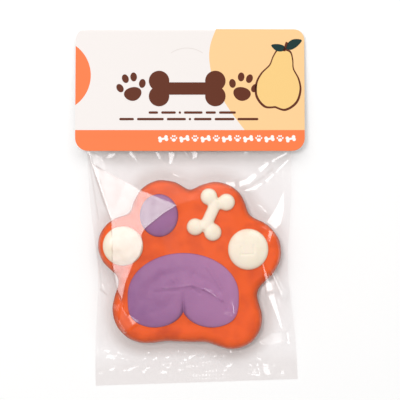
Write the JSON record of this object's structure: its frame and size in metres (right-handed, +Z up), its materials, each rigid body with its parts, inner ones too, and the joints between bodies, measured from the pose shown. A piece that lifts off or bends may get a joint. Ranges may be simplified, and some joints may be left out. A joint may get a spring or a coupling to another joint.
{
  "type": "packed iced dog biscuit",
  "caption": "Paw-shaped dog biscuit with an orange iced coat and piped violet and white icing, sealed in a clear film bag under a folded header card.",
  "frame": {"origin": "middle of the pack's footprint, on the surface it lies on", "axes": "+Z up out of the shown side, +Y from the biscuit to the card's fold, +X to the right seen from above"},
  "size_m": [0.1254, 0.1956, 0.0136],
  "materials": {
    "baked_dough": "matte baked dough, dry and slightly porous",
    "orange_icing": "satin set icing",
    "violet_icing": "satin piped icing",
    "white_icing": "satin piped icing, warm white",
    "clear_film": "clear glossy thin film",
    "coated_card": "smooth coated card"
  },
  "bodies": {
    "root": {"biscuit_dough": "baked_dough", "icing_orange": "orange_icing", "icing_pad": "violet_icing", "icing_toe_violet": "violet_icing", "icing_toe_left": "white_icing", "icing_toe_right": "white_icing", "icing_bone": "white_icing", "film_bag": "clear_film", "header_card": "coated_card"}
  },
  "joints": []
}
